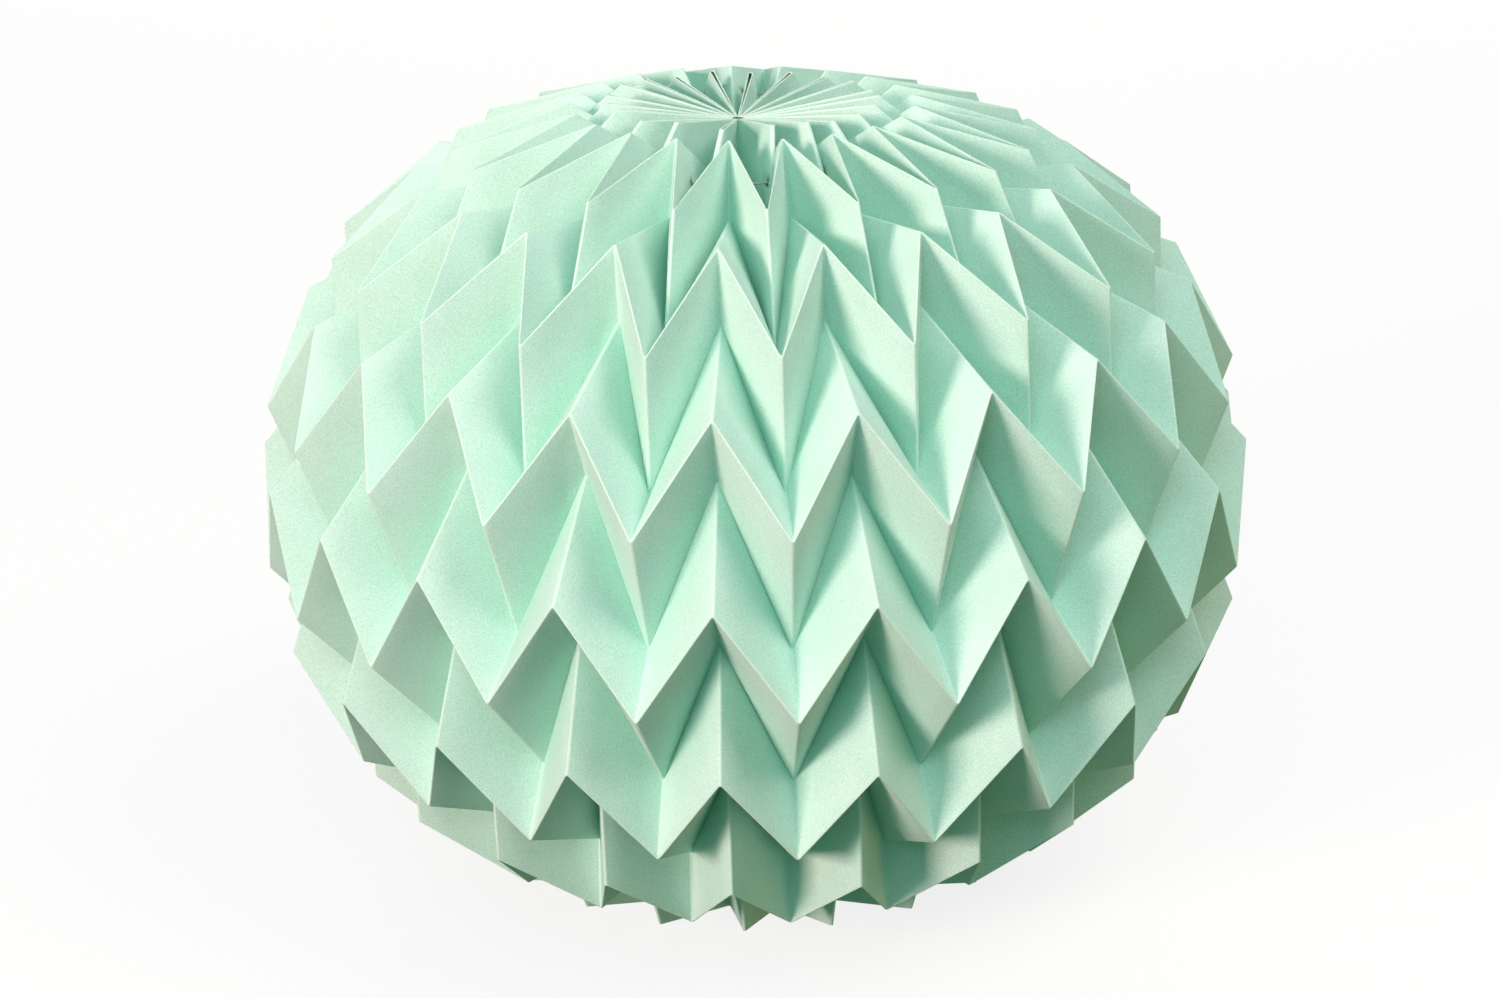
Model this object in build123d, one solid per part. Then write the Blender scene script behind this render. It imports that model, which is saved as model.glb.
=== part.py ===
from build123d import *
import os
from math import cos, hypot, pi, sin, sqrt

import numpy as np

# A ball folded from one sheet of card. The flat sheet is a grid of panels with straight creases
# down the columns and zigzag creases across. The zigzags are mountain and valley in turn, and the
# valley ones are steeper, which is what curls the closed ring of pleats into a ball. A thread
# through punched holes near each end draws the pleats together at the pole.

# Crease pattern of the flat sheet, mm
pleats = 21             # mountain and valley columns round the ball, each
rows_to_pole = 8        # rows of panels from the widest line to each end
panel_width = 31.0      # from one column crease to the next
panel_height = 30.0     # from one zigzag line to the next, measured along the columns
mountain_rise = 21.9    # how far a mountain zigzag climbs across one panel
valley_rise = 38.0      # how far a valley zigzag climbs across one panel

# Card and folds
card_thickness = 0.25
fold_width = 1.2        # width of the bend where a column crease turns the card over
gather_radius = 3.2     # where the inner folds meet the axis at each pole

# Gathering threads and their punched holes
hole_diameter = 2.5
hole_sides = 6          # flats of the hollow punch, which leaves a near-round hole
hole_from_edge = 18.0   # down the outer ridge of a pleat, from the raw edge
hole_from_ridge = 3.0   # in from that ridge
thread_diameter = 0.8
thread_sides = 6
thread_play = 0.1       # left between the thread and the side of the hole that it pulls on

bend_weight = 0.05      # how much a bend counts beside a panel where both can't keep the thickness

half_pitch = pi / pleats
columns = 2 * pleats


def point_from_two(near, near_length, far, far_length, side):
    """The point at two given distances from two points of a plane, on the chosen side of their line."""
    run, climb = far[0] - near[0], far[1] - near[1]
    gap = hypot(run, climb)
    along = (gap**2 + near_length**2 - far_length**2) / (2 * gap)
    across = side * sqrt(max(near_length**2 - along**2, 0))
    return (
        near[0] + (along * run - across * climb) / gap,
        near[1] + (along * climb + across * run) / gap,
    )


def fold_half(equator_radius):
    """Radius and height of each crease point from the widest line up to the pole, for the peak
    columns and the dip columns. Each new point keeps its distances along the flat sheet to the
    two points below it, so the panels don't stretch."""
    segment = hypot(panel_width, mountain_rise)
    chord = 2 * equator_radius * sin(half_pitch / 2)
    climb = sqrt(max(segment**2 - chord**2, 0)) / 2
    peaks, dips = [(equator_radius, climb)], [(equator_radius, -climb)]
    for row in range(rows_to_pole):
        to_valley = row % 2 == 0
        rise, next_rise = (mountain_rise, valley_rise) if to_valley else (valley_rise, mountain_rise)
        side = -1 if to_valley else 1
        found = []
        for own, other, sign in ((peaks[-1], dips[-1], 1), (dips[-1], peaks[-1], -1)):
            crease = panel_height + sign * (next_rise - rise) / 2
            diagonal = hypot(panel_width, panel_height + sign * (next_rise + rise) / 2)
            in_plane = sqrt(max(diagonal**2 - (other[0] * sin(half_pitch)) ** 2, 0))
            seen = (other[0] * cos(half_pitch), other[1])
            found.append(point_from_two(own, crease, seen, in_plane, side * sign))
        peaks.append(found[0])
        dips.append(found[1])
    return peaks, dips


def folded_profile():
    """The widest radius is the one at which the inner folds reach the gather at the pole."""
    open_radius = 1.5 * (panel_width + panel_height) * pleats / (2 * pi)
    closed_radius = open_radius / 4
    steps = 60
    radii = [open_radius - (open_radius - closed_radius) * i / steps for i in range(steps + 1)]
    wide = radii[0]
    for narrow in radii[1:]:
        if fold_half(narrow)[0][-1][0] < gather_radius:
            break
        wide = narrow
    for _ in range(40):
        middle = (wide + narrow) / 2
        if fold_half(middle)[0][-1][0] < gather_radius:
            narrow = middle
        else:
            wide = middle
    return fold_half(wide)


def on_column(radius, height, column, sideways=0.0):
    """A point on a column's meridian, or beside it by the given distance."""
    turn = half_pitch * column
    return np.array(
        [
            radius * sin(turn) + sideways * cos(turn),
            -radius * cos(turn) + sideways * sin(turn),
            height,
        ]
    )


peaks, dips = folded_profile()
# The lower half is the upper one turned over, with peaks and dips changed about.
line_count = 2 * rows_to_pole + 1
peak_line = peaks[::-1] + [(r, -z) for r, z in dips[1:]]
dip_line = dips[::-1] + [(r, -z) for r, z in peaks[1:]]


def fold_corner(line, column, side):
    """Each crease point is two corners, one on each side of the bend in the card."""
    radius, height = (peak_line if column % 2 == 0 else dip_line)[line]
    bend = min(fold_width, radius * half_pitch)
    return on_column(radius, height, column, side * bend / 2)


def corner(line, column, side):
    return (line, column % columns, side)


def sheet_faces():
    """Corners of every flat facet, anticlockwise from outside: two triangles for each panel, which
    flexes a little along its shorter diagonal, and one strip for each bend."""
    facets = []
    for line in range(line_count - 1):
        for column in range(columns):
            left, right = corner(line, column, 1), corner(line, column + 1, -1)
            low_left, low_right = corner(line + 1, column, 1), corner(line + 1, column + 1, -1)
            falling = np.linalg.norm(middle_points[left] - middle_points[low_right])
            rising = np.linalg.norm(middle_points[right] - middle_points[low_left])
            if falling < rising:
                facets += [(left, low_left, low_right), (left, low_right, right)]
            else:
                facets += [(left, low_left, right), (right, low_left, low_right)]
            near, far = corner(line, column, -1), corner(line, column, 1)
            low_near, low_far = corner(line + 1, column, -1), corner(line + 1, column, 1)
            facets.append((near, low_near, low_far, far))
    return facets


def thickness_directions(facets):
    """For each corner, the step that moves all facets round it outward by one unit. Four facets
    can't all be met at one point, so the panels keep their thickness and the bends give way."""
    demands = {key: [] for key in middle_points}
    for facet in facets:
        a, b, c = (middle_points[key] for key in facet[:3])
        normal = np.cross(b - a, c - a)
        weight = 1 if len(facet) == 3 else bend_weight
        for key in facet:
            demands[key].append(weight * np.append(normal / np.linalg.norm(normal), 1))
    steps = {}
    for key, around in demands.items():
        rows = np.array(around)
        steps[key] = np.linalg.lstsq(rows[:, :3], rows[:, 3], rcond=bend_weight / 5)[0]
    return steps


def folded_card():
    facets = sheet_faces()
    steps = thickness_directions(facets)
    half = card_thickness / 2
    outside = {key: middle_points[key] + half * steps[key] for key in middle_points}
    inside = {key: middle_points[key] - half * steps[key] for key in middle_points}
    loops = [[outside[key] for key in facet] for facet in facets]
    loops += [[inside[key] for key in reversed(facet)] for facet in facets]
    # The raw edges close the card's thickness at both ends.
    for line, order in ((0, 1), (line_count - 1, -1)):
        ring = [corner(line, column, side) for column in range(columns) for side in (-1, 1)]
        for here, there in zip(ring, ring[1:] + ring[:1]):
            edge = [outside[here], outside[there], inside[there], inside[here]][::order]
            loops += [edge[:3], [edge[0], edge[2], edge[3]]]
    lift = -min(point[2] for loop in loops for point in loop)
    faces = [Face(Wire.make_polygon([tuple(point) for point in loop])) for loop in loops]
    return Pos(0, 0, lift) * Solid(Shell(faces)), lift


middle_points = {
    (line, column, side): fold_corner(line, column, side)
    for line in range(line_count)
    for column in range(columns)
    for side in (-1, 1)
}
card, middle_height = folded_card()

# The holes lie a set distance down the ridge of the outermost fold, and in from it.
tip, next_fold = dip_line[0], dip_line[1]
ridge_length = hypot(next_fold[0] - tip[0], next_fold[1] - tip[1])
ridge = ((next_fold[0] - tip[0]) / ridge_length, (next_fold[1] - tip[1]) / ridge_length)
hole_ring = tip[0] + hole_from_edge * ridge[0] + hole_from_ridge * ridge[1]
hole_height = tip[1] + hole_from_edge * ridge[1] - hole_from_ridge * ridge[0]
# Drawn tight, the thread runs straight from fin to fin along the axis side of the holes.
hole_line = hole_ring * cos(half_pitch)
thread_line = hole_line - (hole_diameter - thread_diameter) / 2 + thread_play


def punch(height, column):
    """One straight stroke through the four walls of card between two neighbouring fins."""
    length = 2 * hole_ring * sin(half_pitch)
    turn = half_pitch * column
    across, outward = Vector(cos(turn), sin(turn), 0), Vector(sin(turn), -cos(turn), 0)
    start = outward * hole_line - across * (length / 2) + Vector(0, 0, height)
    section = Plane(origin=start, x_dir=outward, z_dir=across)
    return extrude(section * RegularPolygon(hole_diameter / 2, hole_sides), length)


def gathering_thread(height, first_column):
    """A ring of straight runs whose corners lie inside the fins, every second column."""
    corners = []
    for column in range(first_column, first_column + columns, 2):
        ring = []
        for i in range(thread_sides):
            angle = 2 * pi * i / thread_sides
            radius = (thread_line + thread_diameter / 2 * cos(angle)) / cos(half_pitch)
            ring.append(tuple(on_column(radius, height + thread_diameter / 2 * sin(angle), column)))
        corners.append(ring)
    faces = []
    for here, there in zip(corners, corners[1:] + corners[:1]):
        for i in range(thread_sides):
            j = (i + 1) % thread_sides
            faces.append(Face(Wire.make_polygon([here[i], there[i], there[j], here[j]])))
    return Solid(Shell(faces))


os.makedirs("parts", exist_ok=True)
# The fins' outer folds are dip columns at the top and peak columns at the bottom.
for end, side, fin_column in (("top", 1, 1), ("bottom", -1, 0)):
    height = middle_height + side * hole_height
    card = card - [punch(height, fin_column + 1 + 2 * pleat) for pleat in range(pleats)]
    export_step(gathering_thread(height, fin_column), f"parts/{end}_gathering_thread.step")

export_step(card, "parts/folded_card_ball.step")
print("ball", round(2 * peak_line[rows_to_pole][0], 1), "mm across, holes at radius", round(hole_ring, 1))
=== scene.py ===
from math import atan2, cos, hypot, pi, radians, sin, sqrt

import bpy
import numpy as np
from mathutils import Matrix, Vector


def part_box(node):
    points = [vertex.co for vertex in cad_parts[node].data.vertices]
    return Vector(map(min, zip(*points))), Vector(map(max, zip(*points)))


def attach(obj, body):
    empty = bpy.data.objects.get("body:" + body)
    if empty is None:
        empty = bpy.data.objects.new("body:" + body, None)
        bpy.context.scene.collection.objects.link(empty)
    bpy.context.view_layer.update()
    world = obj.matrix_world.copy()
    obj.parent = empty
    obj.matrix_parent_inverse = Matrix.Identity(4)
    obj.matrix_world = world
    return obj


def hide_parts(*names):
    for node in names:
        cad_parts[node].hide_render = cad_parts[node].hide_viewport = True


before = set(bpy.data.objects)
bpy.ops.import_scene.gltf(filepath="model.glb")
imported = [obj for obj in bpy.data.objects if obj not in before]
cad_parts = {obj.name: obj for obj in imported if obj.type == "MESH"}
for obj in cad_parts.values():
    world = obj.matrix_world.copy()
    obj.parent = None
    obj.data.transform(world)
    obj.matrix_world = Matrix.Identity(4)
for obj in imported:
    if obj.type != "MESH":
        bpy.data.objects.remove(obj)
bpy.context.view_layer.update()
ballLow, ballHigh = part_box("folded_card_ball")
middle = (ballLow[2] + ballHigh[2]) / 2
mm = 0.001
noiseRng = np.random.default_rng(21)


def linear(code):
    # An sRGB hex colour as the linear values that the shaders take
    channels = [int(code[i : i + 2], 16) / 255 for i in (1, 3, 5)]
    curved = [c / 12.92 if c <= 0.04045 else ((c + 0.055) / 1.055) ** 2.4 for c in channels]
    return (*curved, 1.0)


def perMetre(size):
    # The scale at which a noise has lumps of this size in mm
    return 1 / (size * mm)


def newMaterial(name):
    material = bpy.data.materials.new(name)
    material.use_nodes = True
    tree = material.node_tree
    tree.nodes.clear()
    return material, tree


def addNode(tree, kind, inputs=None, **settings):
    # An input that is another node's socket is linked, and any other is set
    node = tree.nodes.new(kind)
    for key, value in settings.items():
        setattr(node, key, value)
    for key, value in (inputs or {}).items():
        if isinstance(value, bpy.types.NodeSocket):
            tree.links.new(value, node.inputs[key])
        else:
            node.inputs[key].default_value = value
    return node


# A mix node's sockets for colours, which share their names with its sockets for numbers
mixShare, mixFirst, mixSecond, mixResult = 0, 6, 7, 2


def toMesh(name, points, faces):
    mesh = bpy.data.meshes.new(name)
    mesh.from_pydata([tuple(p) for p in points], [], faces)
    mesh.update()
    made = bpy.data.objects.new(name, mesh)
    bpy.context.scene.collection.objects.link(made)
    return made


# The flat sheet, as it was scored and folded. Sizes in mm
fold = {
    "pleats": 21,
    "rowsToPole": 8,
    "panelWidth": 31.0,
    "panelHeight": 30.0,
    "mountainRise": 21.9,  # how far a mountain zigzag climbs across one panel
    "valleyRise": 38.0,
    "gatherRadius": 3.2,  # where the inner folds meet the axis at each pole
}

halfPitch = pi / fold["pleats"]
columns = 2 * fold["pleats"]
lines = 2 * fold["rowsToPole"] + 1


def pointFromTwo(near, nearLength, far, farLength, side):
    # The point at two given lengths from two points, on the chosen side of their line
    run, climb = far[0] - near[0], far[1] - near[1]
    gap = hypot(run, climb)
    along = (gap**2 + nearLength**2 - farLength**2) / (2 * gap)
    across = side * sqrt(max(nearLength**2 - along**2, 0))
    return (
        near[0] + (along * run - across * climb) / gap,
        near[1] + (along * climb + across * run) / gap,
    )


def foldHalf(equatorRadius):
    # Radius and height of the crease points from the widest line up, on both kinds of column.
    # Each new point keeps its lengths along the flat sheet, so no panel stretches
    width, height = fold["panelWidth"], fold["panelHeight"]
    segment = hypot(width, fold["mountainRise"])
    chord = 2 * equatorRadius * sin(halfPitch / 2)
    climb = sqrt(max(segment**2 - chord**2, 0)) / 2
    peaks, dips = [(equatorRadius, climb)], [(equatorRadius, -climb)]
    for row in range(fold["rowsToPole"]):
        order = 1 if row % 2 == 0 else -1
        rise, nextRise = (fold["mountainRise"], fold["valleyRise"])[::order]
        found = []
        for own, other, sign in ((peaks[-1], dips[-1], 1), (dips[-1], peaks[-1], -1)):
            crease = height + sign * (nextRise - rise) / 2
            diagonal = hypot(width, height + sign * (nextRise + rise) / 2)
            inPlane = sqrt(max(diagonal**2 - (other[0] * sin(halfPitch)) ** 2, 0))
            seen = (other[0] * cos(halfPitch), other[1])
            found.append(pointFromTwo(own, crease, seen, inPlane, -sign * order))
        peaks.append(found[0])
        dips.append(found[1])
    return peaks, dips


def foldedProfile(openness=1.5, closesBy=0.75, steps=60, halvings=40):
    # The ring closes from wider than the sheet can reach until its inner folds meet the gather.
    # The last step is then halved down to the exact radius
    def innerFold(radius):
        return foldHalf(radius)[0][-1][0]

    wide = openness * (fold["panelWidth"] + fold["panelHeight"]) * fold["pleats"] / (2 * pi)
    narrow, step = wide, closesBy * wide / steps
    while innerFold(narrow) >= fold["gatherRadius"]:
        wide, narrow = narrow, narrow - step
    for _ in range(halvings):
        between = (wide + narrow) / 2
        if innerFold(between) < fold["gatherRadius"]:
            narrow = between
        else:
            wide = between
    return foldHalf(wide)


# The lower half is the upper one turned over, with peaks and dips changed about
peaks, dips = foldedProfile()
peakLine = peaks[::-1] + [(r, -z) for r, z in dips[1:]]
dipLine = dips[::-1] + [(r, -z) for r, z in peaks[1:]]
widest = peakLine[fold["rowsToPole"]][0]


def onColumn(radius, height, column, sideways=0.0):
    turn = halfPitch * column
    return np.array(
        [
            radius * sin(turn) + sideways * cos(turn),
            -radius * cos(turn) + sideways * sin(turn),
            height,
        ]
    )


# How the top has settled out of true, mm and degrees. The fins in front lean to the right, and the
# ring of ridges has sunk at the back on the right
settled = {
    "lean": 5.3,
    "leanAt": 11,
    "leanSpread": 30,
    "finShares": (1.0, 0.45),  # how much of it the raw edge and the next line take
    "sink": 4.3,
    "sinkAt": 152,
    "sinkFocus": 1.2,  # more keeps the sunk part nearer to that side
    "sinkFrom": 0.45,  # as a part of the ball's radius, above its middle
    "sinkAll": 0.8,
    "sinkAlike": 30,  # nearer to the axis than this, the sides sink more and more alike
    "tipDrop": 0.8,
    "gather": (-1.5, 0.0, -1.0),
    "gatherDraw": 0.5,  # the inner folds are drawn in to this part of their radius
    "uneven": 0.7,
}

unevenness = noiseRng.uniform(-1, 1, (columns, 2))


def settling(line, column):
    share = settled["finShares"][line]
    if column % 2 == 0:
        return np.array(settled["gather"]) * share
    turn = halfPitch * column
    away = (np.degrees(turn) - settled["leanAt"] + 180) % 360 - 180
    lean = settled["lean"] * np.exp(-((away / settled["leanSpread"]) ** 2))
    lean += settled["uneven"] * unevenness[column][0]
    drop = settled["tipDrop"] + settled["uneven"] * unevenness[column][1]
    return share * np.array([lean * cos(turn), lean * sin(turn), -max(drop, 0.0)])


def sunk(point):
    part = (point[2] / widest - settled["sinkFrom"]) / (settled["sinkAll"] - settled["sinkFrom"])
    high = min(max(part, 0), 1)
    behind = (1 + cos(atan2(point[0], -point[1]) - radians(settled["sinkAt"]))) / 2
    behind = 0.5 + (behind - 0.5) * min(hypot(point[0], point[1]) / settled["sinkAlike"], 1)
    drop = settled["sink"] * high**2 * (3 - 2 * high) * behind ** settled["sinkFocus"]
    return point - np.array([0, 0, drop])


# The card itself. Sizes in mm
card = {
    "thickness": 0.25,
    "columnBend": 0.6,
    "finBend": 1.3,  # the raw ends spring open a little
    "zigzagBend": 1.1,
    "mostOfRow": 0.3,  # a bend takes no more of a row or a panel than this
    "mostOfPanel": 0.2,
    "rawEdge": 0.5,  # how far in from the raw edges their paleness reaches
    "bulge": 0.45,  # how far a panel may swell or sink between its creases
    "panelSteps": (4, 5),  # round the ball, down the ball
    "bendSteps": (4, 3),
    "colour": "#CDEDE0",
    "deepColour": "#C0E6D4",  # in soft clouds over the card
    "deepShares": (0.15, 0.6),  # how much of it shows, from cloud to cloud
    # Pale fold lines and raw edges: partly the card's wear, partly a painted highlight along the
    # ridges
    "wearAndHighlightColour": "#E9F7EA",
    "wearAndHighlightShares": (0.45, 0.95),
    "paintedShadeColour": "#98DEC8",  # painted shade: darker and greener deep in the pleats
    "paintedShadeShare": 0.65,
    "depthFrom": 0.98,  # as a part of the way out to the outer folds
    "depthTo": 0.80,
    "columnWearAndHighlight": 0.3,
    "zigzagWearAndHighlight": 0.6,
    "edgeWearAndHighlight": 0.9,
    "valleyWearAndHighlight": 0.12,
    "cloud": 200 / 11,
    "grain": 5 / 12,  # coarser than real fibres, which are too fine to show
    "grainShades": (0.85, 1.13),
    "grainDepth": 0.1,
    "grainBump": 0.25,
    "roughness": 0.86,
    "shine": 0.25,
    "sheen": 0.04,
    "lightThrough": 0.05,
}


def corner(line, column, side):
    # Each crease point is two corners, one on each side of the bend in the card
    radius, height = (peakLine if column % 2 == 0 else dipLine)[line]
    fromEnd = min(line, lines - 1 - line)
    wide = card["columnBend"] + (card["finBend"] - card["columnBend"]) * max(1 - fromEnd / 2, 0)
    bend = min(wide, radius * halfPitch)
    if line == 0 and column % 2 == 0:
        radius *= settled["gatherDraw"]
        bend *= settled["gatherDraw"]
    point = onColumn(radius, height, column, side * bend / 2)
    return sunk(point + settling(line, column) if line < 2 else point)


def zigzagReach(length):
    return min(card["zigzagBend"] / 2 / length, card["mostOfRow"])


def downThePanel(left, right, across):
    # One line of points down all the rows, with each zigzag crease rounded. Returns the points,
    # how pale each one is from wear and painted highlight, and how far down its row each one lies,
    # or 0 where the card bends
    steps, bends = card["panelSteps"][1], card["bendSteps"][1]
    knots = [a + (b - a) * across for a, b in zip(left, right)]
    points, paleness, inside = [], [], []
    for line in range(lines - 1):
        top, bottom = knots[line], knots[line + 1]
        length = np.linalg.norm(bottom - top)
        reach, edge = zigzagReach(length), card["rawEdge"] / length
        start = reach if line > 0 else edge
        end = 1 - (reach if line < lines - 2 else edge)
        if line == 0:
            points.append(top)
            paleness.append(card["edgeWearAndHighlight"])
            inside.append(0.0)
        for i in range(steps + 1):
            t = start + (end - start) * i / steps
            points.append(top + (bottom - top) * t)
            paleness.append(0.0)
            inside.append(t)
        if line < lines - 2:
            after = knots[line + 2] - bottom
            begin, finish = points[-1], bottom + after * zigzagReach(np.linalg.norm(after))
            for i in range(1, bends):
                t = i / bends
                points.append(begin * (1 - t) ** 2 + bottom * 2 * t * (1 - t) + finish * t**2)
                paleness.append(card["zigzagWearAndHighlight"])
                inside.append(0.0)
    points.append(knots[-1])
    paleness.append(card["edgeWearAndHighlight"])
    inside.append(0.0)
    return np.array(points), np.array(paleness), np.array(inside)


def rowOfEachPoint():
    # Which row of panels each point of downThePanel belongs to
    steps, bends = card["panelSteps"][1], card["bendSteps"][1]
    rows = [0]
    for line in range(lines - 1):
        rows += [line] * (steps + 1)
        if line < lines - 2:
            rows += [line] * (bends - 1)
    return np.array(rows + [lines - 2])


def middleSurface():
    # The middle of the card's thickness as a grid of strips, column by column round the ball
    steps, bends = card["panelSteps"][0], card["bendSteps"][0]
    panels = []
    for column in range(columns):
        left = [corner(line, column, 1) for line in range(lines)]
        right = [corner(line, (column + 1) % columns, -1) for line in range(lines)]
        leftEdge, paleness, inside = downThePanel(left, right, 0.0)
        rightEdge = downThePanel(left, right, 1.0)[0]
        width = np.linalg.norm(rightEdge - leftEdge, axis=1)
        reach = np.minimum(card["columnBend"] / 2 / width, card["mostOfPanel"])
        across = [reach + (1 - 2 * reach) * (i / steps) for i in range(steps + 1)]
        flat = [leftEdge + (rightEdge - leftEdge) * share[:, None] for share in across]
        panels.append((flat, leftEdge, rightEdge, paleness, inside))
    strips, palenessStrips, swell, panelAt = [], [], [], []
    for column, (flat, _, rightEdge, paleness, inside) in enumerate(panels):
        for i in range(steps + 1):
            strips.append(flat[i])
            palenessStrips.append(paleness)
            swell.append(np.sin(pi * (i / steps)) * np.sin(pi * inside))
            panelAt.append(column)
        nextFlat, nextEdge = panels[(column + 1) % columns][:2]
        begin, finish = flat[-1], nextFlat[0]
        for i in range(1, bends):
            t = i / bends
            strips.append(
                begin * (1 - t) ** 3
                + rightEdge * 3 * t * (1 - t) ** 2
                + nextEdge * 3 * t**2 * (1 - t)
                + finish * t**3
            )
            palenessStrips.append(np.maximum(paleness, card["columnWearAndHighlight"]))
            swell.append(np.zeros(len(paleness)))
            panelAt.append(column)
    return np.array(strips), np.array(palenessStrips), np.array(swell), np.array(panelAt)


def gridNormals(grid):
    around = np.roll(grid, -1, axis=0) - np.roll(grid, 1, axis=0)
    down = np.gradient(grid, axis=1)
    normal = np.cross(down, around)
    return normal / np.linalg.norm(normal, axis=2, keepdims=True)


def cardGrid():
    grid, paleness, swell, panelAt = middleSurface()
    normals = gridNormals(grid)
    # Each panel swells or sinks by its own amount
    amounts = noiseRng.uniform(-1, 1, (columns, lines - 1)) * card["bulge"]
    push = swell * amounts[panelAt][:, rowOfEachPoint()]
    # Only the folds that stand out from the points beside them are made pale, partly as wear and
    # partly as a painted highlight
    beside = (np.roll(grid, 1, axis=0) + np.roll(grid, -1, axis=0)) / 4
    beside[:, 1:-1] += (grid[:, 2:] + grid[:, :-2]) / 4
    beside[:, (0, -1)] *= 2
    standsOut = np.sum((grid - beside) * normals, axis=2) > 0
    standsOut[:, (0, -1)] = True
    # How deep each point lies in the pleats, against a smooth ball over the outer folds. Shade is
    # painted into the card's colour by this depth
    x, y, z = grid[:, :, 0], grid[:, :, 1], grid[:, :, 2]
    reach = np.sqrt((x**2 + y**2) / widest**2 + z**2 / np.abs(z).max() ** 2)
    depth = np.clip((card["depthFrom"] - reach) / (card["depthFrom"] - card["depthTo"]), 0, 1)
    paleness = paleness * np.where(standsOut, 1.0, card["valleyWearAndHighlight"])
    return grid + normals * push[..., None], paleness, depth


def foldedCard():
    grid, paleness, depth = cardGrid()
    normals = gridNormals(grid)
    half = card["thickness"] / 2
    across, down = grid.shape[:2]
    outside = (grid + normals * half).reshape(-1, 3)
    inside = (grid - normals * half).reshape(-1, 3)
    points = np.concatenate([outside, inside]) * mm + np.array([0, 0, middle])
    total = across * down
    faces = []
    for i in range(across):
        here, there = i * down, (i + 1) % across * down
        for k in range(down - 1):
            a, b, c, d = here + k, here + k + 1, there + k + 1, there + k
            faces.append((a, b, c, d))
            faces.append((d + total, c + total, b + total, a + total))
        # The raw edges close the card's thickness at both ends
        faces.append((here, there, there + total, here + total))
        here, there = here + down - 1, there + down - 1
        faces.append((there, here, here + total, there + total))
    ball = toMesh("folded_card_sheet", points, faces)
    for name, amounts in (("foldWearAndHighlight", paleness), ("paintedShadeDepth", depth)):
        attribute = ball.data.attributes.new(name, "FLOAT", "POINT")
        bothSides = np.tile(amounts.reshape(-1), 2)
        attribute.data.foreach_set("value", bothSides.astype(np.float32))
    ball.data.shade_smooth()
    return ball


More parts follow.
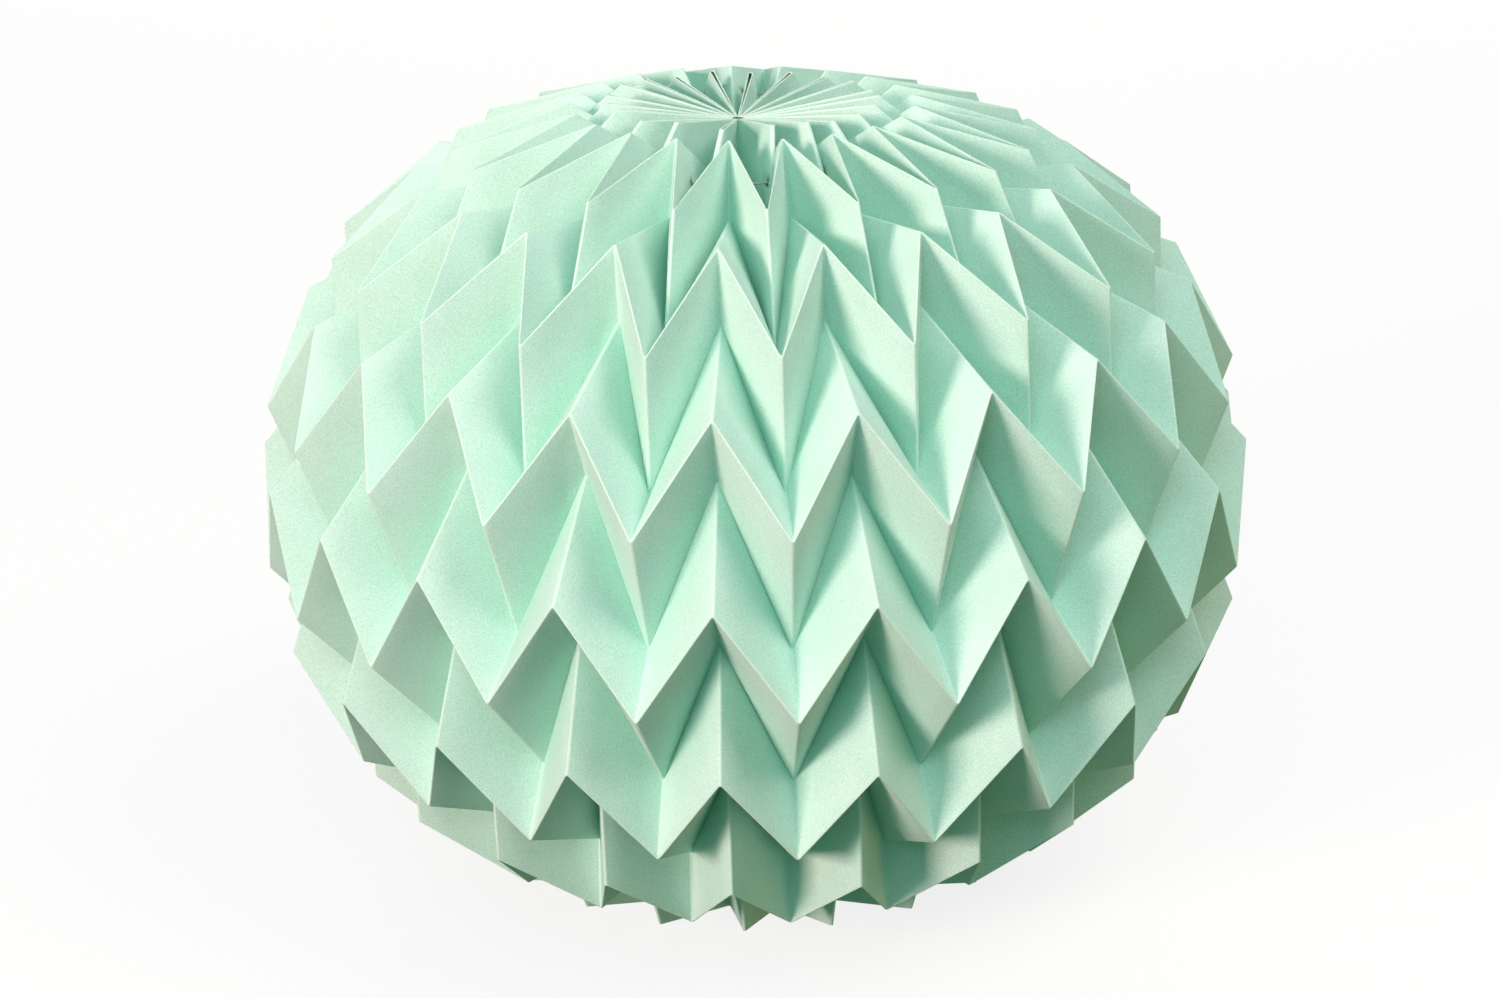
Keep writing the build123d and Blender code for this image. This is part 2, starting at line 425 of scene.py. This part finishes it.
def colouredCard():
    # Uncoated coloured card: matt, with a dry paper grain, and pale along the ridges and raw
    # edges, partly where folding has broken the surface and partly as a painted highlight. It is
    # painted darker and greener deep in the pleats, as painted shade. A little light comes through
    # it, so shaded panels stay green rather than grey
    material, tree = newMaterial("uncoated_mint_card")
    place = addNode(tree, "ShaderNodeTexCoord").outputs["Object"]
    grain = addNode(
        tree,
        "ShaderNodeTexNoise",
        {"Vector": place, "Scale": perMetre(card["grain"]), "Detail": 3.0, "Roughness": 0.6},
    ).outputs["Fac"]
    cloud = addNode(
        tree,
        "ShaderNodeTexNoise",
        {"Vector": place, "Scale": perMetre(card["cloud"]), "Detail": 3.0},
    ).outputs["Fac"]
    paleFolds = addNode(tree, "ShaderNodeAttribute", attribute_name="foldWearAndHighlight").outputs["Fac"]
    depth = addNode(tree, "ShaderNodeAttribute", attribute_name="paintedShadeDepth").outputs["Fac"]
    # The noises stay near 0.5, and the range nodes stretch that middle part
    least, most = card["deepShares"]
    mottled = addNode(
        tree,
        "ShaderNodeMapRange",
        {"Value": cloud, "From Min": 0.35, "From Max": 0.65, "To Min": least, "To Max": most},
    ).outputs[0]
    plain = addNode(
        tree,
        "ShaderNodeMix",
        {
            mixShare: mottled,
            mixFirst: linear(card["colour"]),
            mixSecond: linear(card["deepColour"]),
        },
        data_type="RGBA",
    ).outputs[mixResult]
    # Painted shade: the colour turns darker and greener the deeper the point lies in the pleats
    paintedShadeShare = addNode(
        tree, "ShaderNodeMath", {0: depth, 1: card["paintedShadeShare"]}, operation="MULTIPLY"
    ).outputs[0]
    withPaintedShade = addNode(
        tree,
        "ShaderNodeMix",
        {mixShare: paintedShadeShare, mixFirst: plain, mixSecond: linear(card["paintedShadeColour"])},
        data_type="RGBA",
    ).outputs[mixResult]
    least, most = card["grainShades"]
    speck = addNode(
        tree,
        "ShaderNodeMapRange",
        {"Value": grain, "From Min": 0.3, "From Max": 0.7, "To Min": least, "To Max": most},
    ).outputs[0]
    flecked = addNode(
        tree, "ShaderNodeVectorMath", {0: withPaintedShade, "Scale": speck}, operation="SCALE"
    ).outputs[0]
    least, most = card["wearAndHighlightShares"]
    paleSpread = addNode(
        tree,
        "ShaderNodeMapRange",
        {"Value": cloud, "From Min": 0.3, "From Max": 0.62, "To Min": least, "To Max": most},
    ).outputs[0]
    # Painted highlight mixed with wear: the folds that stand out and the raw edges turn pale
    pale = addNode(tree, "ShaderNodeMath", {0: paleFolds, 1: paleSpread}, operation="MULTIPLY").outputs[0]
    colour = addNode(
        tree,
        "ShaderNodeMix",
        {mixShare: pale, mixFirst: flecked, mixSecond: linear(card["wearAndHighlightColour"])},
        data_type="RGBA",
    ).outputs[mixResult]
    bump = addNode(
        tree,
        "ShaderNodeBump",
        {"Height": grain, "Strength": card["grainBump"], "Distance": card["grainDepth"] * mm},
    ).outputs[0]
    surface = addNode(
        tree,
        "ShaderNodeBsdfPrincipled",
        {
            "Base Color": colour,
            "Normal": bump,
            "Roughness": card["roughness"],
            "IOR": 1.5,
            "Specular IOR Level": card["shine"],
            "Sheen Weight": card["sheen"],
        },
    ).outputs[0]
    through = addNode(
        tree, "ShaderNodeBsdfTranslucent", {"Color": colour, "Normal": bump}
    ).outputs[0]
    both = addNode(
        tree, "ShaderNodeMixShader", {"Fac": card["lightThrough"], 1: surface, 2: through}
    ).outputs[0]
    addNode(tree, "ShaderNodeOutputMaterial", {"Surface": both})
    return material


# The punched holes near each raw end, mm
holes = {
    "diameter": 2.5,
    "fromEdge": 18.0,
    "fromRidge": 3.0,
    "sides": 14,
    "spacing": 40,  # of the points along each straight run
}

# The thread that gathers each end, mm
thread = {
    "diameter": 0.8,
    "play": 0.1,  # left between it and the side of the hole that it pulls on
    "sides": 8,
    "spacing": 0.4,
    "plyDepth": 0.16,  # how deep the groove between the plies goes, as a part of the radius
    "twistLength": 3.2,
    "colour": "#B4CCB0",
    "fibreShade": 0.72,  # how dark it is between the fibres, against its colour
    "fibre": 5 / 13,  # coarser than cotton's own, which are too fine to show
    "fibreDepth": 0.1,
    "fibreBump": 0.5,
    "roughness": 0.9,
    "sheen": 0.2,
}


def holePlace():
    # The holes lie down the ridge of the outermost fold, and in from it
    tip, nextFold = dipLine[0], dipLine[1]
    length = hypot(nextFold[0] - tip[0], nextFold[1] - tip[1])
    ridge = ((nextFold[0] - tip[0]) / length, (nextFold[1] - tip[1]) / length)
    ring = tip[0] + holes["fromEdge"] * ridge[0] + holes["fromRidge"] * ridge[1]
    height = tip[1] + holes["fromEdge"] * ridge[1] - holes["fromRidge"] * ridge[0]
    return ring, height


def ringTube(name, ring, height, firstColumn, shape):
    # A tube along straight runs from fin to fin. With a ply depth, it is two plies wound together
    corners = [onColumn(ring, height, firstColumn + 2 * i) for i in range(fold["pleats"])]
    stations = []
    for here, there in zip(corners, corners[1:] + corners[:1]):
        steps = max(2, round(np.linalg.norm(there - here) / shape["spacing"]))
        stations += [here + (there - here) * i / steps for i in range(steps)]
    nextStations = stations[1:] + stations[:1]
    whole = sum(np.linalg.norm(b - a) for a, b in zip(stations, nextStations))
    ply = shape.get("plyDepth", 0)
    turns = round(whole / shape["twistLength"]) if ply else 0
    radius, sides = shape["diameter"] / 2, shape["sides"]
    points, faces = [], []
    walked = 0.0
    for i, place in enumerate(stations):
        before, following = stations[i - 1], nextStations[i]
        ahead = (following - before) / np.linalg.norm(following - before)
        outward = np.cross(ahead, (0, 0, 1))
        for s in range(sides):
            angle = 2 * pi * s / sides
            groove = 1 - ply * (1 + cos(2 * angle - 2 * pi * turns * walked / whole)) / 2
            aside = outward * cos(angle) + np.array([0, 0, sin(angle)])
            points.append(place + radius * groove * aside)
        walked += np.linalg.norm(following - place)
    count = len(stations)
    for i in range(count):
        j = (i + 1) % count
        for s in range(sides):
            r = (s + 1) % sides
            faces.append((i * sides + s, j * sides + s, j * sides + r, i * sides + r))
    made = toMesh(name, np.array(points) * mm + np.array([0, 0, middle]), faces)
    made.data.shade_smooth()
    return made


def cottonThread():
    # Pale cotton thread: soft and fibrous, and darker between the fibres
    material, tree = newMaterial("cotton_thread")
    place = addNode(tree, "ShaderNodeTexCoord").outputs["Object"]
    fibres = addNode(
        tree,
        "ShaderNodeTexNoise",
        {"Vector": place, "Scale": perMetre(thread["fibre"]), "Detail": 3.0},
    ).outputs["Fac"]
    pale = linear(thread["colour"])
    darker = (*(c * thread["fibreShade"] for c in pale[:3]), 1.0)
    colour = addNode(
        tree,
        "ShaderNodeMix",
        {mixShare: fibres, mixFirst: pale, mixSecond: darker},
        data_type="RGBA",
    ).outputs[mixResult]
    bump = addNode(
        tree,
        "ShaderNodeBump",
        {"Height": fibres, "Strength": thread["fibreBump"], "Distance": thread["fibreDepth"] * mm},
    ).outputs[0]
    surface = addNode(
        tree,
        "ShaderNodeBsdfPrincipled",
        {
            "Base Color": colour,
            "Normal": bump,
            "Roughness": thread["roughness"],
            "IOR": 1.5,
            "Sheen Weight": thread["sheen"],
        },
    ).outputs[0]
    addNode(tree, "ShaderNodeOutputMaterial", {"Surface": surface})
    return material


ball = foldedCard()
print("card folded:", len(ball.data.vertices), "points")

# The fins' outer folds are dip columns at the top and peak columns at the bottom
ring, holeHeight = holePlace()
inward = ((holes["diameter"] - thread["diameter"]) / 2 - thread["play"]) / cos(halfPitch)
threads = []
for end, side, finColumn in (("top", 1, 1), ("bottom", -1, 0)):
    cutter = ringTube(f"{end}_punch", ring, side * holeHeight, finColumn, holes)
    cutter.hide_render = True
    cutter.hide_set(True)
    punch = ball.modifiers.new(f"{end}_holes", "BOOLEAN")
    punch.operation = "DIFFERENCE"
    punch.solver = "MANIFOLD"
    punch.object = cutter
    strand = ringTube(
        f"{end}_cotton_thread", ring - inward, side * holeHeight, finColumn, thread
    )
    threads.append(strand)
print("holes punched and threads drawn through")

ball.data.materials.append(colouredCard())
cotton = cottonThread()
for end, strand in zip(("top", "bottom"), threads):
    strand.data.materials.append(cotton)
    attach(strand, "root")
    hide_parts(f"{end}_gathering_thread")
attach(ball, "root")
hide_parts("folded_card_ball")
print("materials set")


paper = {
    "halfWidth": 6.0,  # metres
    "below": 0.5,  # mm under the ball
    "colour": "#FFFFFF",
    "grainColour": "#FCFCFC",
    "grain": 2.5,  # mm, coarser than the paper's own
    "glow": 0.85,  # how much of its white is its own light
}


def paleFloor():
    # White paper, nearly without shading. Seen by the camera alone, so that it doesn't light the
    # ball from below
    material, tree = newMaterial("white_paper_sweep")
    place = addNode(tree, "ShaderNodeTexCoord").outputs["Object"]
    grain = addNode(
        tree, "ShaderNodeTexNoise", {"Vector": place, "Scale": perMetre(paper["grain"])}
    ).outputs["Fac"]
    colour = addNode(
        tree,
        "ShaderNodeMix",
        {
            mixShare: grain,
            mixFirst: linear(paper["grainColour"]),
            mixSecond: linear(paper["colour"]),
        },
        data_type="RGBA",
    ).outputs[mixResult]
    matt = addNode(tree, "ShaderNodeBsdfDiffuse", {"Color": colour}).outputs[0]
    glow = addNode(tree, "ShaderNodeEmission", {"Color": colour, "Strength": 1.0}).outputs[0]
    both = addNode(tree, "ShaderNodeMixShader", {"Fac": paper["glow"], 1: matt, 2: glow})
    addNode(tree, "ShaderNodeOutputMaterial", {"Surface": both.outputs[0]})
    half = paper["halfWidth"]
    corners = [(-half, -half, 0), (half, -half, 0), (half, half, 0), (-half, half, 0)]
    floor = toMesh("paper_sweep", corners, [(0, 1, 2, 3)])
    floor.location.z = ballLow[2] - paper["below"] * mm
    floor.data.materials.append(material)
    floor.visible_diffuse = False
    floor.visible_glossy = False
    floor.visible_transmission = False
    floor.visible_shadow = False


view = {
    "turn": 4.77,  # degrees from straight in front of the first peak column
    "elevation": 20.36,
    "distance": 1.0946,
    "lens": 87.56,
    "sensor": 36.0,
    "aim": (0.091, 0.33, -1.861),  # yaw, pitch and roll off the ball's middle, degrees
}


def towards(turn, height):
    return Vector((sin(turn) * cos(height), -cos(turn) * cos(height), sin(height)))


def lookThroughCamera():
    data = bpy.data.cameras.new("camera")
    data.lens = view["lens"]
    data.sensor_width = view["sensor"]
    data.clip_end = 50
    camera = bpy.data.objects.new("camera", data)
    bpy.context.scene.collection.objects.link(camera)
    turn, elevation = radians(view["turn"]), radians(view["elevation"])
    yaw, pitch, roll = (radians(angle) for angle in view["aim"])
    right = Vector((cos(turn + yaw), sin(turn + yaw), 0))
    back = towards(turn + yaw, elevation + pitch)
    up = back.cross(right)
    rolledRight = right * cos(roll) + up * sin(roll)
    rolledUp = up * cos(roll) - right * sin(roll)
    placed = Matrix((rolledRight, rolledUp, back)).transposed().to_4x4()
    placed.translation = Vector((0, 0, middle)) + towards(turn, elevation) * view["distance"]
    camera.matrix_world = placed
    bpy.context.scene.camera = camera


# Turn is degrees round from in front of the camera, and height is degrees up from level. Sizes and
# distances in metres, power in watts
lamps = {
    "key_window": {
        "turn": -45, "height": 17, "distance": 2.4,
        "size": (0.65, 0.65), "power": 57, "colour": "#FFD9D7",
    },
    "side_fill": {
        "turn": 60, "height": 55, "distance": 2.4,
        "size": (1.3, 1.3), "power": 36, "colour": "#FADDDF",
    },
    "top_fill": {
        "turn": -10, "height": 45, "distance": 2.4,
        "size": (1.2, 1.2), "power": 14, "colour": "#DCFFFF",
    },
    "low_bounce": {
        "turn": 72, "height": -24, "distance": 0.75,
        "size": (0.5, 0.5), "power": 0.65, "colour": "#FFC05A",
    },
    "back_fill": {
        "turn": 178, "height": 12, "distance": 2.4,
        "size": (1.6, 1.6), "power": 38, "colour": "#FFF4EC",
    },
}


def areaLight(name, lamp):
    data = bpy.data.lights.new(name, "AREA")
    data.shape = "RECTANGLE"
    data.size, data.size_y = lamp["size"]
    data.energy = lamp["power"]
    data.color = linear(lamp["colour"])[:3]
    placed = bpy.data.objects.new(name, data)
    bpy.context.scene.collection.objects.link(placed)
    away = towards(radians(lamp["turn"] + view["turn"]), radians(lamp["height"]))
    placed.location = Vector((0, 0, middle)) + away * lamp["distance"]
    placed.rotation_euler = away.to_track_quat("Z", "Y").to_euler()


room = {
    "above": 0.27,
    "below": 0.19,
    "aboveColour": "#A8FFEC",
    "belowColour": "#BEFFDE",
    "blend": 0.2,  # how far above and below level the two meet
}


def softRoom():
    # Dim and cool all round, and a little dimmer from below. The warm light comes from low_bounce
    world = bpy.data.worlds.new("studio_room")
    bpy.context.scene.world = world
    world.use_nodes = True
    tree = world.node_tree
    tree.nodes.clear()
    place = addNode(tree, "ShaderNodeTexCoord").outputs["Generated"]
    height = addNode(tree, "ShaderNodeSeparateXYZ", {"Vector": place}).outputs["Z"]
    share = addNode(
        tree,
        "ShaderNodeMapRange",
        {"Value": height, "From Min": -room["blend"], "From Max": room["blend"]},
        interpolation_type="SMOOTHSTEP",
    ).outputs[0]
    shade = addNode(
        tree,
        "ShaderNodeMix",
        {
            mixShare: share,
            mixFirst: linear(room["belowColour"]),
            mixSecond: linear(room["aboveColour"]),
        },
        data_type="RGBA",
    ).outputs[mixResult]
    level = addNode(
        tree,
        "ShaderNodeMapRange",
        {"Value": share, "To Min": room["below"], "To Max": room["above"]},
    ).outputs[0]
    glow = addNode(tree, "ShaderNodeBackground", {"Color": shade, "Strength": level})
    addNode(tree, "ShaderNodeOutputWorld", {"Surface": glow.outputs[0]})


paleFloor()
for name, lamp in lamps.items():
    areaLight(name, lamp)
bpy.context.scene.view_settings.view_transform = "Standard"
softRoom()
lookThroughCamera()
print("floor, lights and camera placed")
